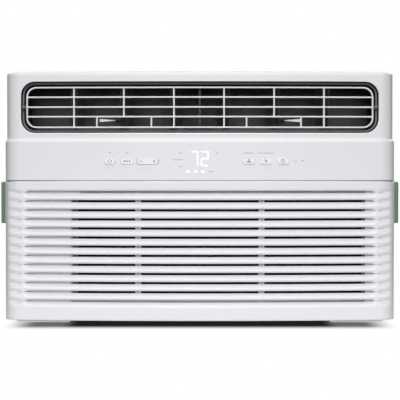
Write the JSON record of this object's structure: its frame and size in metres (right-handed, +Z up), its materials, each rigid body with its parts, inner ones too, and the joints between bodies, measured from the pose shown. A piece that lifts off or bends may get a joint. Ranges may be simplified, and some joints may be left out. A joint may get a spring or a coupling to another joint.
{
  "type": "window air conditioner",
  "caption": "Compact window air conditioner with a bowed white front, tilting louvre outlet on top, push-button strip, hinged slatted intake grille and steel cabinet behind.",
  "frame": {"origin": "middle of the footprint, at the height the feet stand on", "axes": "+X to the right seen from the front, the front faces -Y, +Z up"},
  "size_m": [0.5038, 0.4304, 0.3118],
  "materials": {
    "white_plastic": "fine moulded texture, white",
    "dark_plastic": "black moulded plastic",
    "green_plastic": "muted green moulded plastic",
    "grey_plastic": "grey moulded plastic",
    "cabinet_paint": "light grey powder coat",
    "galvanised": "galvanised sheet",
    "fin_aluminium": "bare aluminium",
    "copper": "bare copper",
    "black_paint": "black enamel",
    "rubber": "black rubber",
    "steel": "plain steel",
    "filter_net": "dark woven nylon net",
    "board_green": "solder mask green"
  },
  "bodies": {
    "root": {"front_panel": "white_plastic", "foot_front_left": "white_plastic", "foot_front_right": "white_plastic", "foot_rear_left": "white_plastic", "foot_rear_right": "white_plastic", "display_module": "dark_plastic", "air_duct": "dark_plastic", "side_handle_left": "green_plastic", "side_handle_right": "green_plastic", "blower_scroll": "grey_plastic", "condenser_shroud": "grey_plastic", "cabinet": "cabinet_paint", "rear_grille": "cabinet_paint", "base_pan": "galvanised", "control_box": "galvanised", "motor_bracket": "galvanised", "bulkhead": "galvanised", "evaporator_coil": "fin_aluminium", "condenser_coil": "fin_aluminium", "run_capacitor": "fin_aluminium", "thermistor_probe": "copper", "suction_line": "copper", "discharge_line": "copper", "liquid_line": "copper", "compressor": "black_paint", "accumulator": "black_paint", "compressor_mount_1": "rubber", "compressor_mount_2": "rubber", "compressor_mount_3": "rubber", "drain_plug": "rubber", "cord_gland": "rubber", "fan_motor": "steel", "control_board": "board_green"},
    "intake_grille": {"intake_grille": "white_plastic"},
    "filter": {"filter_frame": "grey_plastic", "filter_mesh": "filter_net"},
    "louver": {"louver_frame": "white_plastic"},
    "fan_rotor": {"motor_shaft": "steel", "blower_wheel": "dark_plastic", "condenser_fan": "dark_plastic"},
    "temperature_rocker": {"temperature_rocker": "white_plastic"},
    "power_button": {"power_button": "white_plastic"},
    "mode_button": {"mode_button": "white_plastic"},
    "fan_button": {"fan_button": "white_plastic"},
    "eco_button": {"eco_button": "white_plastic"},
    "timer_button": {"timer_button": "white_plastic"},
    "vane_left_1": {"vane_left_1": "dark_plastic"},
    "vane_left_2": {"vane_left_2": "dark_plastic"},
    "vane_left_3": {"vane_left_3": "dark_plastic"},
    "tie_bar_left": {"tie_bar_left": "dark_plastic"},
    "vane_right_1": {"vane_right_1": "dark_plastic"},
    "vane_right_2": {"vane_right_2": "dark_plastic"},
    "vane_right_3": {"vane_right_3": "dark_plastic"},
    "tie_bar_right": {"tie_bar_right": "dark_plastic"}
  },
  "joints": [
    {"name": "louver_tilt", "type": "hinge", "parent": "root", "child": "louver", "pos_m": [0, -0.196, 0.2672], "axis": [1, 0, 0], "range_deg": [-12, 12]},
    {"name": "grille_open", "type": "hinge", "parent": "root", "child": "intake_grille", "pos_m": [0, -0.212, 0.006], "axis": [1, 0, 0], "range_deg": [0, 50]},
    {"name": "filter_slide", "type": "slide", "parent": "root", "child": "filter", "axis": [1, 0, 0], "range_m": [0, 0.33]},
    {"name": "fan_spin", "type": "hinge", "parent": "root", "child": "fan_rotor", "pos_m": [0.03, 0, 0.128], "axis": [0, 1, 0], "continuous": true},
    {"name": "temperature_rock", "type": "hinge", "parent": "root", "child": "temperature_rocker", "pos_m": [-0.0643, -0.209, 0.2006], "axis": [0, 0, 1], "range_deg": [-4, 4], "stiffness_Nm_per_rad": 0.05},
    {"name": "power_press", "type": "slide", "parent": "root", "child": "power_button", "axis": [0, 1, 0], "range_m": [0, 0.0012], "stiffness_N_per_m": 300},
    {"name": "mode_press", "type": "slide", "parent": "root", "child": "mode_button", "axis": [0, 1, 0], "range_m": [0, 0.0012], "stiffness_N_per_m": 300},
    {"name": "fan_press", "type": "slide", "parent": "root", "child": "fan_button", "axis": [0, 1, 0], "range_m": [0, 0.0012], "stiffness_N_per_m": 300},
    {"name": "eco_press", "type": "slide", "parent": "root", "child": "eco_button", "axis": [0, 1, 0], "range_m": [0, 0.0012], "stiffness_N_per_m": 300},
    {"name": "timer_press", "type": "slide", "parent": "root", "child": "timer_button", "axis": [0, 1, 0], "range_m": [0, 0.0012], "stiffness_N_per_m": 300},
    {"name": "vane_left_2_turn", "type": "hinge", "parent": "root", "child": "vane_left_2", "pos_m": [-0.093, -0.172, 0.267], "axis": [0, 0, 1], "range_deg": [0, 60]},
    {"name": "vane_left_1_turn", "type": "hinge", "parent": "root", "child": "vane_left_1", "pos_m": [-0.031, -0.172, 0.267], "axis": [0, 0, 1], "range_deg": [0, 60]},
    {"name": "vane_left_3_turn", "type": "hinge", "parent": "root", "child": "vane_left_3", "pos_m": [-0.155, -0.172, 0.267], "axis": [0, 0, 1], "range_deg": [0, 60]},
    {"name": "tie_bar_left_turn", "type": "hinge", "parent": "vane_left_2", "child": "tie_bar_left", "pos_m": [-0.0855, -0.15901, 0.2407], "axis": [0, 0, 1], "range_deg": [-60, 0]},
    {"name": "vane_right_2_turn", "type": "hinge", "parent": "root", "child": "vane_right_2", "pos_m": [0.093, -0.172, 0.267], "axis": [0, 0, -1], "range_deg": [0, 60]},
    {"name": "vane_right_1_turn", "type": "hinge", "parent": "root", "child": "vane_right_1", "pos_m": [0.031, -0.172, 0.267], "axis": [0, 0, -1], "range_deg": [0, 60]},
    {"name": "vane_right_3_turn", "type": "hinge", "parent": "root", "child": "vane_right_3", "pos_m": [0.155, -0.172, 0.267], "axis": [0, 0, -1], "range_deg": [0, 60]},
    {"name": "tie_bar_right_turn", "type": "hinge", "parent": "vane_right_2", "child": "tie_bar_right", "pos_m": [0.0855, -0.15901, 0.2407], "axis": [0, 0, -1], "range_deg": [-60, 0]}
  ],
  "couplings": [
    {"joint": "vane_left_1_turn", "follows": "vane_left_2_turn", "ratio": 1},
    {"joint": "vane_left_3_turn", "follows": "vane_left_2_turn", "ratio": 1},
    {"joint": "tie_bar_left_turn", "follows": "vane_left_2_turn", "ratio": -1},
    {"joint": "vane_right_1_turn", "follows": "vane_right_2_turn", "ratio": 1},
    {"joint": "vane_right_3_turn", "follows": "vane_right_2_turn", "ratio": 1},
    {"joint": "tie_bar_right_turn", "follows": "vane_right_2_turn", "ratio": -1}
  ]
}
